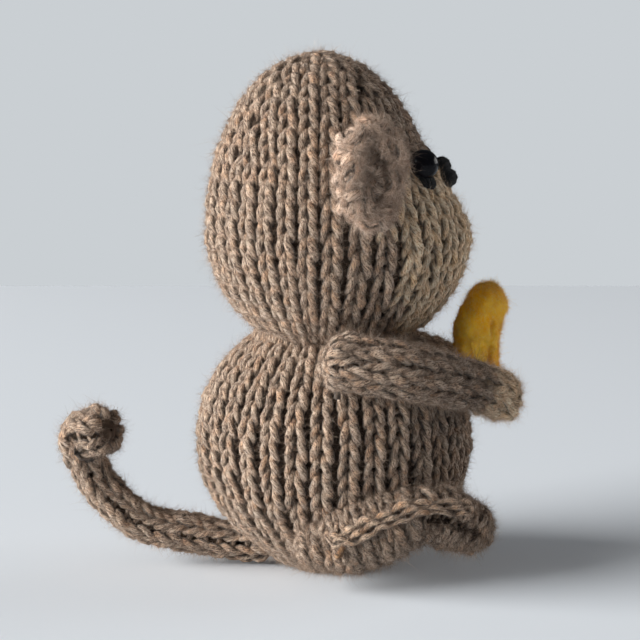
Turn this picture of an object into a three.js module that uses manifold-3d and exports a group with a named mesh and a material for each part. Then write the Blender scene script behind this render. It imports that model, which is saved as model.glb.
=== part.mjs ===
import * as THREE from 'three';
import { mergeVertices } from 'three/addons/utils/BufferGeometryUtils.js';
import Module from 'manifold-3d';

// A small knitted monkey that sits and holds a banana in front of its chest.
// Millimetres, +Z up, facing -Y. The origin is the middle of the flat that it sits on.

// Fits and walls
const gap = 0.3;
const knitWall = 2.6;
const yarnRadius = 0.9;

// Body: a stuffed ball that narrows to the seat below and to the neck above
const seatRadius = 9.5;
const bellyRadius = 26.9;
const bellyHeight = 24.5;
const neckRadius = 15.5;
const neckHeight = 46;
const lowerFullness = 2.2;
const upperFullness = 2.5;
const stuffingHoleRadius = 9;

// Head: an egg that stands on the body's rounded top and pivots inside it
const headPivotHeight = 38;
const headWideHeight = 66;
const headTopRise = 33.8;
const headChinDrop = 23.3;
const headSideRadius = 23.5;
const lowerCheekFullness = 0.5;
const headBackDepth = 22;
const headFrontDepth = 22.8;
const crownSetBack = 3;
const nodReach = 10;
const neckYarnAngle = 45;
const neckYarnRadius = 1.1;
const crownRingRadius = 1.5;
const crownRingYarn = 0.7;

// Muzzle: the fuller, paler lower front of the face
const muzzleDepth = 7.1;
const muzzleSharpness = 1.4;
const chinFade = 3;
const muzzleTopHeight = 85;
const muzzleFullHeight = 62;
const muzzlePanelTop = 76;
const muzzlePanelBack = 9.3;

// Ears: knitted cups that open forwards and a little outwards
const earHeight = 78.2;
const earForward = 4.7;
const earStandOff = 3.4;
const earTall = 19.4;
const earWide = 12.4;
const earDeep = 12.6;
const earWall = 2.8;
const earMouthOffset = 1.5;
const earTurn = 35;

// Eyes and nose
const eyeDiameter = 5.2;
const eyeSpacing = 23;
const eyeHeight = 78.6;
const eyeSink = 1.7;
const eyeThreadDrop = 3.4;
const eyeThreadWide = 2.6;
const eyeThreadTall = 4.2;
const noseBarHeights = [77.7, 75.4];
const noseBarRadius = 1.7;
const noseBarStandOff = 0.2;
const noseWide = 8.4;

// Banana: a bent cigar that leans away at the top, held between the hands
const bananaStations = [
  { forward: 29.9, up: 33.2, radius: 3.1 },
  { forward: 28.3, up: 38.2, radius: 3.9 },
  { forward: 27.6, up: 43.0, radius: 4.1 },
  { forward: 28.2, up: 47.6, radius: 4.2 },
  { forward: 29.9, up: 51.2, radius: 3.6 },
];
const bananaHalfWidth = 4.2;

// Arms: flat knitted tubes that hug the body and reach past the banana
const shoulderAngle = 4;
const wrapAngle = 66;
const wrapShare = 0.8;
const shoulderHeight = 42.8;
const handHeight = 34.4;
const armTall = 10.6;
const armThick = 8.2;
const handTall = 9.2;
const handThick = 7.6;
const armLean = 22;
const armDip = 1.8;
const handReach = 36.1;
const handStart = 30.6;
const armOpenLimit = 60;
const armHingeForward = 0.5;
const leftArmDrop = 2;

// Legs: stuffed tubes beside the body, bent up at the knee
const legStations = [
  { out: 22.3, forward: -2.6, up: 8.4, radius: 4.6 },
  { out: 22.5, forward: 2.1, up: 9.6, radius: 6.5 },
  { out: 22.5, forward: 8.0, up: 11.8, radius: 6.7 },
  { out: 22.0, forward: 13.0, up: 13.6, radius: 6.0 },
  { out: 20.8, forward: 17.3, up: 14.4, radius: 5.3 },
  { out: 18.8, forward: 21.4, up: 12.9, radius: 6.1 },
  { out: 17.4, forward: 25.2, up: 11.3, radius: 5.4 },
];
const legWall = 2.4;
const hipForward = -3.6;
const hipOut = 21;
const legSplayLimit = 40;
const leftLegYaw = 9;
const leftLegBack = 4;
const seamStart = 0.14;
const seamEnd = 0.8;
const seamLift = 18;
const knotRadius = 1.5;

// Tail: a stiff cord that leaves low behind and curls up to a hooked, open tip
const tailRadius = 3.7;
const tailTipRadius = 4.7;
const tailRootBack = 20.6;
const tailRootHeight = 4.9;
const tailSag = 0.3;
const tailSwingLimit = 30;
const tailBendBack = 35.8;
const tailBendHeight = 7.8;
const tailPath = [
  { side: 0, back: 41.4, up: 11.0 },
  { side: 0, back: 45.9, up: 16.0 },
  { side: 0, back: 48.3, up: 22.0 },
  { side: -1.2, back: 48.9, up: 26.8 },
  { side: -4.6, back: 45.9, up: 28.0 },
];
const wireRadius = 0.7;
const wireChannel = 1.1;

// Mesh fineness
const roundSides = 28;
const liningSides = 18;
const limbSides = 12;
const thinSides = 8;

const wasm = await Module();
wasm.setup();

const radians = THREE.MathUtils.degToRad;
const lerp = THREE.MathUtils.lerp;
const vector = (x, y, z) => new THREE.Vector3(x, y, z);
const upward = vector(0, 0, 1);
const sideways = vector(1, 0, 0);

// Turns a closed geometry into a solid that can be cut, without doubled points and flat triangles
function solidOf(geometry) {
  const bare = geometry.clone();
  bare.deleteAttribute('normal');
  bare.deleteAttribute('uv');
  const merged = mergeVertices(bare, 1e-4);
  const corners = merged.index.array;
  const kept = [];
  for (let i = 0; i < corners.length; i += 3) {
    const [a, b, c] = corners.slice(i, i + 3);
    if (a !== b && b !== c && c !== a) kept.push(a, b, c);
  }
  const vertProperties = Float32Array.from(merged.attributes.position.array);
  return new wasm.Manifold(new wasm.Mesh({ numProp: 3, vertProperties, triVerts: Uint32Array.from(kept) }));
}

function geometryOf(solid) {
  const mesh = solid.getMesh();
  const geometry = new THREE.BufferGeometry();
  geometry.setAttribute('position', new THREE.BufferAttribute(Float32Array.from(mesh.vertProperties), 3));
  geometry.setIndex(new THREE.BufferAttribute(Uint32Array.from(mesh.triVerts), 1));
  geometry.computeVertexNormals();
  return geometry;
}

// A lathe turned about the Z axis, from a profile of [radius, height] that runs upwards
function turnedAboutZ(profile, sides) {
  const points = profile.map(([r, z]) => new THREE.Vector2(r, z));
  return new THREE.LatheGeometry(points, sides).rotateX(Math.PI / 2);
}

function ball(radius, centre, sides = 12) {
  return new THREE.SphereGeometry(radius, sides, sides * 0.75).translate(centre.x, centre.y, centre.z);
}

function ring(ringRadius, tubeRadius, centre) {
  return new THREE.TorusGeometry(ringRadius, tubeRadius, 6, 24).translate(centre.x, centre.y, centre.z);
}

// A box given by its lowest and highest corners
function block(low, high) {
  const size = high.clone().sub(low);
  const middle = low.clone().add(high).multiplyScalar(0.5);
  return new THREE.BoxGeometry(size.x, size.y, size.z).translate(middle.x, middle.y, middle.z);
}

// An upright round rod
function rod(radius, x, y, low, high) {
  const rodGeometry = new THREE.CylinderGeometry(radius, radius, high - low, thinSides);
  return rodGeometry.rotateX(Math.PI / 2).translate(x, y, (low + high) / 2);
}

// A closed skin over rings of points that run along a path, with one point closing each end
function skin(rings, start, end) {
  const sides = rings[0].length;
  const points = [start, ...rings.flat(), end];
  const last = points.length - 1;
  const at = (row, k) => 1 + row * sides + (k % sides);
  const faces = [];
  for (let k = 0; k < sides; k += 1) {
    faces.push(0, at(0, k + 1), at(0, k));
    for (let row = 0; row < rings.length - 1; row += 1) {
      faces.push(at(row, k), at(row, k + 1), at(row + 1, k));
      faces.push(at(row, k + 1), at(row + 1, k + 1), at(row + 1, k));
    }
    faces.push(last, at(rings.length - 1, k), at(rings.length - 1, k + 1));
  }
  const geometry = new THREE.BufferGeometry().setFromPoints(points);
  geometry.setIndex(faces);
  return geometry;
}

// A limb along stations of { at, high, wide }, with rounded ends; grow swells or shrinks it all round
function limb(stations, { rings, sides = limbSides, up, grow = 0 }) {
  const path = new THREE.CatmullRomCurve3(stations.map((station) => station.at));
  const sizes = new THREE.CatmullRomCurve3(stations.map((station) => vector(station.high, station.wide, 0)));
  const section = (t, shift, scale) => {
    const along = path.getTangent(t);
    const centre = path.getPoint(t).addScaledVector(along, shift);
    const across = up(centre).cross(along).normalize();
    const over = along.clone().cross(across);
    const size = sizes.getPoint(t);
    const points = [];
    for (let k = 0; k < sides; k += 1) {
      const turn = (2 * Math.PI * k) / sides;
      const point = centre.clone().addScaledVector(across, scale * (size.y + grow) * Math.cos(turn));
      points.push(point.addScaledVector(over, scale * (size.x + grow) * Math.sin(turn)));
    }
    return points;
  };
  const capLength = (t) => Math.min(sizes.getPoint(t).x, sizes.getPoint(t).y) + grow;
  const capped = [60, 30].map((angle) => radians(angle));
  const rows = [];
  for (const angle of capped) rows.push(section(0, -capLength(0) * Math.sin(angle), Math.cos(angle)));
  for (let i = 0; i <= rings; i += 1) rows.push(section(i / rings, 0, 1));
  for (const angle of capped.reverse()) rows.push(section(1, capLength(1) * Math.sin(angle), Math.cos(angle)));
  const start = path.getPoint(0).addScaledVector(path.getTangent(0), -capLength(0));
  const end = path.getPoint(1).addScaledVector(path.getTangent(1), capLength(1));
  return skin(rows, start, end);
}

// A geometry turned by an angle in degrees about an upright line through a hinge
function swung(geometry, hinge, degrees) {
  const copy = geometry.clone().translate(-hinge.x, -hinge.y, 0);
  return copy.rotateZ(radians(degrees)).translate(hinge.x, hinge.y, 0);
}

// Body

function bodyRadius(z) {
  if (z < bellyHeight) {
    return bellyRadius - (bellyRadius - seatRadius) * ((bellyHeight - z) / bellyHeight) ** lowerFullness;
  }
  const rise = (z - bellyHeight) / (neckHeight - bellyHeight);
  return bellyRadius - (bellyRadius - neckRadius) * rise ** upperFullness;
}

const domeRadius = Math.hypot(neckRadius, neckHeight - headPivotHeight);
const creaseAngle = Math.atan2(neckHeight - headPivotHeight, neckRadius);

// The whole body swollen by grow, or shrunk where grow is below zero
function bodyShape(grow, sides = roundSides) {
  const rows = 10;
  const profile = [[0, -grow], [seatRadius + grow, -grow]];
  for (let i = 1; i <= rows; i += 1) {
    const z = (neckHeight * i) / rows;
    if (z > -2 * grow) profile.push([bodyRadius(z) + grow, z]);
  }
  const domeSteps = 4;
  for (let i = 1; i < domeSteps; i += 1) {
    const angle = lerp(creaseAngle, Math.PI / 2, i / domeSteps);
    const radius = domeRadius + grow;
    profile.push([radius * Math.cos(angle), headPivotHeight + radius * Math.sin(angle)]);
  }
  profile.push([0, headPivotHeight + domeRadius + grow]);
  return turnedAboutZ(profile, sides);
}

function bodyCover() {
  const mouth = rod(stuffingHoleRadius, 0, 0, neckHeight, headPivotHeight + 2 * domeRadius);
  return solidOf(bodyShape(0)).subtract(solidOf(bodyShape(-knitWall, liningSides))).subtract(solidOf(mouth));
}

function bodyStuffing() {
  const plug = rod(stuffingHoleRadius - gap, 0, 0, bellyHeight, headPivotHeight + 2 * domeRadius);
  const crown = solidOf(bodyShape(0)).intersect(solidOf(plug));
  return solidOf(bodyShape(-knitWall - gap, liningSides)).add(crown);
}

// Head

function muzzleSwell(turn, z) {
  const rise = THREE.MathUtils.smoothstep(-z, -muzzleTopHeight, -muzzleFullHeight);
  const chin = headWideHeight - headChinDrop;
  const fade = THREE.MathUtils.smoothstep(z, chin, chin + chinFade);
  return muzzleDepth * rise * fade * Math.max(0, Math.cos(turn)) ** muzzleSharpness;
}

// A point of the head's surface at a latitude from -90 to 90 degrees and a turn from the face
function headPoint(latitude, turn, grow) {
  const rise = latitude > 0 ? headTopRise : headChinDrop;
  const z = headWideHeight + (rise + grow) * Math.sin(latitude);
  const depth = Math.cos(turn) > 0 ? headFrontDepth : headBackDepth;
  const cheek = Math.cos(latitude) ** (latitude < 0 ? lowerCheekFullness : 1);
  const x = (headSideRadius + grow) * cheek * Math.sin(turn);
  const y = crownSetBack - (depth + grow) * Math.cos(latitude) * Math.cos(turn) - muzzleSwell(turn, z);
  return vector(x, y, z);
}

function headShape(grow, sides = roundSides, rows = 15) {
  const rings = [];
  for (let i = 1; i < rows; i += 1) {
    const latitude = lerp(-Math.PI / 2, Math.PI / 2, i / rows);
    const points = [];
    for (let k = 0; k < sides; k += 1) points.push(headPoint(latitude, (2 * Math.PI * k) / sides, grow));
    rings.push(points);
  }
  return skin(rings, headPoint(-Math.PI / 2, 0, grow), headPoint(Math.PI / 2, 0, grow));
}

// Where the face's surface is at a height and a distance from the middle
function faceY(x, z) {
  const latitude = Math.asin((z - headWideHeight) / headTopRise);
  const turn = Math.asin(x / (headSideRadius * Math.cos(latitude)));
  return headPoint(latitude, turn, 0).y;
}

// The body's distance from the head's pivot in a direction so many degrees above level
function bodyReach(degrees) {
  const angle = radians(degrees);
  if (angle >= creaseAngle) return domeRadius;
  let near = neckRadius;
  let far = bellyRadius * 2;
  for (let i = 0; i < 30; i += 1) {
    const middle = (near + far) / 2;
    const z = headPivotHeight + middle * Math.sin(angle);
    if (middle * Math.cos(angle) < bodyRadius(z)) near = middle;
    else far = middle;
  }
  return near;
}

// The room that the body takes in the head while the head nods as far as it goes, all round
function neckRecess(grow) {
  const profile = [[0, headPivotHeight]];
  for (let degrees = 0; degrees < 90; degrees += 10) {
    const reach = Math.max(bodyReach(degrees - nodReach), bodyReach(degrees)) + gap + grow;
    const angle = radians(degrees);
    profile.push([reach * Math.cos(angle), headPivotHeight + reach * Math.sin(angle)]);
  }
  profile.push([0, headPivotHeight + domeRadius + gap + grow]);
  return turnedAboutZ(profile, roundSides);
}

const neckYarnReach = domeRadius + gap + neckYarnRadius;
const neckYarnRing = neckYarnReach * Math.cos(radians(neckYarnAngle));
const neckYarnHeight = headPivotHeight + neckYarnReach * Math.sin(radians(neckYarnAngle));
const neckYarnMiddle = vector(0, 0, neckYarnHeight);

function withoutNeck(solid) {
  const groove = solidOf(ring(neckYarnRing, neckYarnRadius + gap, neckYarnMiddle));
  return solid.subtract(solidOf(neckRecess(0.05))).subtract(groove);
}

const muzzleRoom = (grow) => block(
  vector(-2 * headSideRadius, -3 * headFrontDepth, 0),
  vector(2 * headSideRadius, -muzzlePanelBack + grow, muzzlePanelTop + grow),
);

const crownTop = headWideHeight + headTopRise;
const crownRingMiddle = vector(0, crownSetBack, crownTop - crownRingYarn - gap);

function headShell() {
  return withoutNeck(solidOf(headShape(0)).subtract(solidOf(headShape(-knitWall, liningSides, 9))));
}

function headCover() {
  const dimple = rod(crownRingRadius + crownRingYarn + gap, 0, crownSetBack, 0, 2 * (crownRingYarn + gap));
  dimple.translate(0, 0, crownTop - 2 * (crownRingYarn + gap));
  return headShell().subtract(solidOf(muzzleRoom(gap))).subtract(solidOf(dimple));
}

function headStuffing() {
  return withoutNeck(solidOf(headShape(-knitWall - gap, liningSides, 9)));
}

// Ears

function earPlace(side) {
  const latitude = Math.asin((earHeight - headWideHeight) / headTopRise);
  const turn = Math.acos((earForward + crownSetBack) / (headFrontDepth * Math.cos(latitude)));
  const surface = headPoint(latitude, side * turn, 0);
  return surface.add(vector(side * earStandOff, 0, 0));
}

function ear(side) {
  const placed = (geometry) => {
    const place = earPlace(side);
    return geometry.rotateZ(radians(side * earTurn)).translate(place.x, place.y, place.z);
  };
  const egg = (inset) => {
    const egg = new THREE.SphereGeometry(1, 16, 10);
    return placed(egg.scale(earWide / 2 - inset, earDeep / 2 - inset, earTall / 2 - inset));
  };
  const mouth = placed(block(
    vector(-earTall, -earTall, -earTall),
    vector(earTall, -earMouthOffset, earTall),
  ));
  const cup = solidOf(egg(0)).subtract(solidOf(egg(earWall))).subtract(solidOf(mouth));
  return cup.subtract(solidOf(headShape(gap)));
}

// Eyes and nose

function eyePlace(side) {
  const out = eyeSpacing / 2;
  const surface = faceY(out, eyeHeight);
  const slope = (faceY(out + 0.5, eyeHeight) - surface) / 0.5;
  const stand = (eyeDiameter / 2 - eyeSink) / Math.hypot(1, slope);
  return vector(side * (out + stand * slope), surface - stand, eyeHeight);
}

function eye(side) {
  return solidOf(ball(eyeDiameter / 2, eyePlace(side))).subtract(solidOf(headShape(gap)));
}

function eyeThread(side) {
  const place = eyePlace(side);
  const drop = place.z - eyeThreadDrop;
  const lump = new THREE.SphereGeometry(1, 10, 8).scale(eyeThreadWide / 2, eyeThreadWide / 2, eyeThreadTall / 2);
  lump.translate(place.x, faceY(Math.abs(place.x), drop) - gap, drop);
  const bead = solidOf(ball(eyeDiameter / 2 + gap, place));
  return solidOf(lump).subtract(solidOf(headShape(gap))).subtract(bead);
}

function nose() {
  const [upper, lower] = noseBarHeights.map((z) => {
    const bar = new THREE.SphereGeometry(1, 16, 10).scale(noseWide / 2, noseBarRadius, noseBarRadius);
    return solidOf(bar.translate(0, faceY(0, z) - noseBarStandOff, z));
  });
  return upper.add(lower).subtract(solidOf(headShape(gap)));
}

// Banana

function banana() {
  const stations = bananaStations.map(({ forward, up, radius }) => (
    { at: vector(0, -forward, up), high: radius, wide: Math.min(radius, bananaHalfWidth) }
  ));
  return solidOf(limb(stations, { rings: 8, up: () => sideways.clone() }));
}

// Arms

const handOut = bananaHalfWidth + gap + handThick / 2;
const armDrop = (side) => (side > 0 ? leftArmDrop : 0);
const armHeight = (side, along) => lerp(shoulderHeight, handHeight, along ** armDip) - armDrop(side);

function armStations(side) {
  const steps = 5;
  const stations = [];
  for (let i = 0; i <= steps; i += 1) {
    const along = (wrapShare * i) / steps;
    const angle = radians(lerp(shoulderAngle, wrapAngle, i / steps));
    const z = armHeight(side, along);
    const reach = bodyRadius(z) + armThick / 2 + gap;
    const out = Math.max(reach * Math.cos(angle), handOut);
    stations.push({
      at: vector(side * out, -reach * Math.sin(angle), z),
      high: lerp(armTall, handTall, along) / 2,
      wide: lerp(armThick, handThick, along) / 2,
    });
  }
  const cap = handThick / 2;
  const wrist = vector(side * handOut, -handStart, armHeight(side, (1 + wrapShare) / 2));
  const tip = vector(side * handOut, -handReach + cap, armHeight(side, 1));
  stations.push({ at: wrist, high: handTall / 2, wide: handThick / 2 });
  stations.push({ at: tip, high: handTall / 2, wide: handThick / 2 });
  return stations;
}

// The arm's flat side leans with the sloping shoulder
function armUp(centre) {
  const inward = vector(-centre.x, -centre.y, 0).normalize();
  const lean = radians(armLean);
  return upward.clone().multiplyScalar(Math.cos(lean)).addScaledVector(inward, Math.sin(lean));
}

function armHinge(side) {
  const reach = bodyRadius(shoulderHeight - armDrop(side) - armTall / 2) + gap + yarnRadius;
  return vector(side * reach, -armHingeForward, 0);
}

const armSweep = [0, 20, 40, armOpenLimit];

function wholeArm(side) {
  let arm = solidOf(limb(armStations(side), { rings: 12, up: armUp }));
  const hinge = armHinge(side);
  for (const angle of armSweep) arm = arm.subtract(solidOf(swung(bodyShape(gap), hinge, -side * angle)));
  return arm.subtract(solidOf(rod(yarnRadius + gap, hinge.x, hinge.y, 0, crownTop)));
}

const handRoom = (edge) => block(vector(-bellyRadius, -2 * handReach, 0), vector(bellyRadius, -edge, neckHeight));

function arm(side) {
  return wholeArm(side).subtract(solidOf(handRoom(handStart - gap / 2)));
}

function hand(side) {
  return wholeArm(side).intersect(solidOf(handRoom(handStart + gap / 2)));
}

// The yarn that sews the shoulder on and that the arm turns about
function shoulderThread(side) {
  const hinge = armHinge(side);
  const middle = armHeight(side, 0);
  const thread = rod(yarnRadius, hinge.x, hinge.y, middle - armTall / 2, middle + armTall / 2);
  return solidOf(thread).subtract(solidOf(bodyShape(gap)));
}

// Legs

const legBack = (side) => (side > 0 ? leftLegBack : 0);
const hipHinge = (side) => vector(side * hipOut, legBack(side) - hipForward, 0);
const legSweep = [0, 20, legSplayLimit];
const legYaw = (side) => (side > 0 ? leftLegYaw : 0);

function legStationsOf(side) {
  return legStations.map(({ out, forward, up, radius }) => (
    { at: vector(side * out, legBack(side) - forward, up), high: radius, wide: radius }
  ));
}

function legShape(side, grow, sides) {
  const leg = limb(legStationsOf(side), { rings: 9, sides, up: () => upward.clone(), grow });
  return swung(leg, hipHinge(side), side * legYaw(side));
}

// What the body leaves of a leg's shape while the leg splays as far as it goes
function besideBody(solid, side) {
  const hinge = hipHinge(side);
  let left = solid;
  for (const angle of legSweep) left = left.subtract(solidOf(swung(bodyShape(gap), hinge, -side * angle)));
  return left.subtract(solidOf(rod(yarnRadius + gap, hinge.x, hinge.y, 0, bellyHeight)));
}

function seamPath(side) {
  const path = new THREE.CatmullRomCurve3(legStationsOf(side).map((station) => station.at));
  const sizes = new THREE.CatmullRomCurve3(legStations.map(({ radius }) => vector(radius, 0, 0)));
  const points = [];
  const steps = 8;
  for (let i = 0; i <= steps; i += 1) {
    const t = lerp(seamStart, seamEnd, i / steps);
    const reach = sizes.getPoint(t).x;
    const lift = radians(seamLift);
    const rise = vector(side * reach * Math.cos(lift), 0, reach * Math.sin(lift));
    points.push(path.getPoint(t).add(rise));
  }
  return new THREE.CatmullRomCurve3(points);
}

function cord(path, radius, steps) {
  const circle = new THREE.Shape().absarc(0, 0, radius, 0, 2 * Math.PI);
  return new THREE.ExtrudeGeometry(circle, { steps, curveSegments: 4, extrudePath: path, bevelEnabled: false });
}

function seamShape(side, grow) {
  const path = seamPath(side);
  const yarn = solidOf(cord(path, yarnRadius + grow, 12));
  const knot = solidOf(ball(knotRadius + grow, path.getPoint(0), 8));
  const seam = geometryOf(yarn.add(knot));
  return solidOf(swung(seam, hipHinge(side), side * legYaw(side)));
}

function leg(side) {
  const shell = solidOf(legShape(side, 0, limbSides)).subtract(solidOf(legShape(side, -legWall, thinSides)));
  return besideBody(shell, side).subtract(seamShape(side, gap));
}

function legStuffing(side) {
  return besideBody(solidOf(legShape(side, -legWall - gap, thinSides)), side);
}

function legSeam(side) {
  return seamShape(side, 0);
}

// The yarn that sews the hip on and that the leg turns about
function hipThread(side) {
  const hinge = hipHinge(side);
  const thread = rod(yarnRadius, hinge.x, hinge.y, legStations[0].up - legStations[0].radius, bellyHeight);
  return solidOf(thread).subtract(solidOf(bodyShape(gap)));
}

// Tail

const tailSweep = [-tailSwingLimit, -tailSwingLimit / 2, 0, tailSwingLimit / 2, tailSwingLimit];
const tailRoot = vector(0, tailRootBack, tailRootHeight);
const tailBend = vector(0, tailBendBack, tailBendHeight);
const roundStation = (at, radius) => ({ at, high: radius, wide: radius });

const lowerTailStations = (radius) => [
  roundStation(tailRoot, radius),
  roundStation(tailRoot.clone().lerp(tailBend, 0.5).add(vector(0, 0, -tailSag)), radius),
  roundStation(tailBend, radius),
];

function upperTailStations(radius, tipRadius) {
  const swelling = [radius, radius, radius, lerp(radius, tipRadius, 0.7), tipRadius];
  const path = tailPath.map(({ side, back, up }, i) => roundStation(vector(side, back, up), swelling[i]));
  return [roundStation(tailBend, radius), ...path];
}

const alongTail = (stations, rings, sides) => limb(stations, { rings, sides, up: () => sideways.clone() });

// The part of a tube between two of its stations, as a thin wire or the channel for one
function tailThread(stations, from, to, radius) {
  const path = new THREE.CatmullRomCurve3(stations.map((station) => station.at));
  const points = [];
  for (let i = 0; i <= 6; i += 1) points.push(roundStation(path.getPoint(lerp(from, to, i / 6)), radius));
  return points;
}

function lowerTail() {
  const tube = solidOf(alongTail(lowerTailStations(tailRadius), 4, limbSides));
  const bore = tailThread(lowerTailStations(tailRadius), 0, 0.85, wireChannel);
  const mouth = roundStation(vector(0, tailRootBack - 2 * tailRadius, tailRootHeight), wireChannel);
  let left = tube.subtract(solidOf(alongTail([mouth, ...bore], 5, 6)));
  for (const angle of tailSweep) left = left.subtract(solidOf(swung(bodyShape(gap), tailRoot, angle)));
  return left;
}

function upperTail() {
  let tube = solidOf(alongTail(upperTailStations(tailRadius, tailTipRadius), 13, limbSides));
  tube = tube.subtract(solidOf(ball(tailRadius + gap, tailBend, 16)));
  const bore = tailThread(upperTailStations(tailRadius, tailTipRadius), 0.17, 1, wireChannel);
  const tip = bore[bore.length - 1].at.clone();
  const before = bore[bore.length - 2].at;
  tip.add(tip.clone().sub(before).setLength(2 * tailTipRadius));
  return tube.subtract(solidOf(alongTail([...bore, roundStation(tip, wireChannel)], 11, 6)));
}

function wire(stations, from, to) {
  return solidOf(alongTail(tailThread(stations, from, to, wireRadius), 8, 6));
}

// Materials

const yarn = (color) => new THREE.MeshStandardMaterial({ color, roughness: 0.95, metalness: 0 });
const brownYarn = yarn(0x968069);
const paleYarn = yarn(0xa8947a);
const blackYarn = yarn(0x0c0c0d);
const yellowYarn = yarn(0xc8912a);
const fibreFill = yarn(0xe6e2da);
const beadBlack = new THREE.MeshStandardMaterial({ color: 0x050506, roughness: 0.12, metalness: 0 });
const wireSteel = new THREE.MeshStandardMaterial({ color: 0x8d8f92, roughness: 0.4, metalness: 0.9 });

// The monkey, piece by piece

const monkey = new THREE.Group();

function add(name, solid, material) {
  const mesh = new THREE.Mesh(geometryOf(solid), material);
  mesh.name = name;
  monkey.add(mesh);
}

add('head_cover', headCover(), brownYarn);
add('muzzle_panel', headShell().intersect(solidOf(muzzleRoom(0))), paleYarn);
add('head_stuffing', headStuffing(), fibreFill);
add('crown_gather', solidOf(ring(crownRingRadius, crownRingYarn, crownRingMiddle)), brownYarn);
add('nose_stitches', nose(), blackYarn);
add('neck_seam', solidOf(ring(neckYarnRing, neckYarnRadius, neckYarnMiddle)), brownYarn);
add('body_cover', bodyCover(), brownYarn);
add('body_stuffing', bodyStuffing(), fibreFill);
add('banana', banana(), yellowYarn);

for (const [word, side] of [['left', 1], ['right', -1]]) {
  add(`ear_${word}`, ear(side), brownYarn);
  add(`eye_${word}`, eye(side), beadBlack);
  add(`eye_thread_${word}`, eyeThread(side), blackYarn);
  add(`arm_${word}`, arm(side), brownYarn);
  add(`hand_${word}`, hand(side), paleYarn);
  add(`shoulder_thread_${word}`, shoulderThread(side), brownYarn);
  add(`leg_${word}`, leg(side), brownYarn);
  add(`leg_stuffing_${word}`, legStuffing(side), fibreFill);
  add(`leg_seam_${word}`, legSeam(side), brownYarn);
  add(`hip_thread_${word}`, hipThread(side), brownYarn);
}

const lowerTailPath = lowerTailStations(tailRadius);
const upperTailPath = upperTailStations(tailRadius, tailTipRadius);
add('tail_lower', lowerTail(), brownYarn);
add('tail_upper', upperTail(), brownYarn);
add('tail_wire_lower', wire(lowerTailPath, 0.1, 0.75), wireSteel);
add('tail_wire_upper', wire(upperTailPath, 0.22, 0.9), wireSteel);

export default monkey;
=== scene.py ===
import math

import bpy
import numpy as np
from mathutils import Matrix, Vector


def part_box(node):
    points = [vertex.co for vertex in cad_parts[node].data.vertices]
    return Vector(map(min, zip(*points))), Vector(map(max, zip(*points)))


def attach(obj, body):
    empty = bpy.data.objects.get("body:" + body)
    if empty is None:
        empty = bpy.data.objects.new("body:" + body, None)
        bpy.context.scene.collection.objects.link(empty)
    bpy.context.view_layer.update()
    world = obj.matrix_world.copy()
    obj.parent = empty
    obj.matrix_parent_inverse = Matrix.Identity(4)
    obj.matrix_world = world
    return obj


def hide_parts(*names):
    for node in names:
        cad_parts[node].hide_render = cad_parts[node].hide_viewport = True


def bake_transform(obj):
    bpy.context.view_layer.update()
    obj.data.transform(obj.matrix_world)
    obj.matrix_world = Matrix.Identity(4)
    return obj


# A small knitted monkey that sits and holds a felt banana. All shapes here are worked out in
# millimetres and made into metres when a mesh is built. +Z is up and the face looks along -Y.

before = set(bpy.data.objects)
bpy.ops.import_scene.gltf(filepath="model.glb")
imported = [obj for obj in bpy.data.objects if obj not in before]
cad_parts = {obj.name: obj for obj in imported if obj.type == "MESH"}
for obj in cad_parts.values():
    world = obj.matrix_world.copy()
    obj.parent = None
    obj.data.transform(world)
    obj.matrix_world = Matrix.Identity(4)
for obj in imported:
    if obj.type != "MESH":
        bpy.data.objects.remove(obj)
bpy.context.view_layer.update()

MM = 0.001
TAU = 2 * math.pi
random = np.random.RandomState(11)

# The yarn and its stitches
STITCH_ROW = 3.45
STEPS_PER_STITCH = 14
YARN_RADIUS = 0.83
YARN_SIDES = 8
YARN_FLATNESS = 0.92
YARN_OFFSET = 37.0
LOOP_DEPTH = 0.74
LOOP_LEAN = 0.20
LOOP_NARROW = 0.042
LOOP_REACH = 0.98
LOOP_BIAS = 0.10
SINK = 1.60

# What lies under the stitches, and the hairs on them. The export thins a piece of over 200,000
# triangles, so hairs are split into pieces of fewer.
# Painted shade: a dark sheet lies this far under the stitches, so the gaps between them look shaded.
SHADE_SHEET_DEPTH = 2.4
FILL_DEPTH = 4.5
FUZZ_LIMIT = 195000
#      kind    rise         reach bends curl width
FUZZ = ("fuzz", (-0.1, 0.8), 0.70, 1, 0.0, 0.046)
HALO = ("halo", (0.1, 1.7), 1.9, 2, 1.1, 0.026)

UP = np.array([0.0, 0.0, 1.0])
LEFT = np.array([1.0, 0.0, 0.0])


# ---- vectors

def unit(a):
    return a / np.maximum(np.linalg.norm(a, axis=-1, keepdims=True), 1e-9)


def smooth(x, low, high):
    t = np.clip((x - low) / (high - low), 0, 1)
    return t * t * (3 - 2 * t)


def mix(a, b, t):
    return a + (b - a) * t


def lengths_along(points):
    """How far along a path each of its points is."""
    return np.concatenate([[0], np.cumsum(np.linalg.norm(np.diff(points, axis=0), axis=1))])


# ---- forms

HEAD_PIVOT = 38.0
HEAD_MIDDLE, HEAD_RISE, HEAD_DROP = 66, 33.8, 23.3
HEAD_HALF_WIDTH, FACE_DEPTH, BACK_DEPTH, HEAD_BACK = 23.5, 22.8, 22.0, 3
NECK_HEIGHT = 45.5


def head_point(latitude, turn):
    """The head's surface. turn is measured from the face, latitude from the widest level."""
    z = HEAD_MIDDLE + np.where(latitude > 0, HEAD_RISE, HEAD_DROP) * np.sin(latitude)
    level = np.maximum(np.cos(latitude), 0)
    cheek = np.where(latitude < 0, level ** 0.5, level)
    x = HEAD_HALF_WIDTH * cheek * np.sin(turn)
    depth = np.where(np.cos(turn) > 0, FACE_DEPTH, BACK_DEPTH)
    swell = 7.1 * smooth(-z, -85, -62) * smooth(z, 42.7, 45.7)
    front = np.maximum(np.cos(turn), 0)
    y = HEAD_BACK - depth * level * np.cos(turn) - swell * front ** 1.4
    return np.stack([x, y, z], -1)


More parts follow.
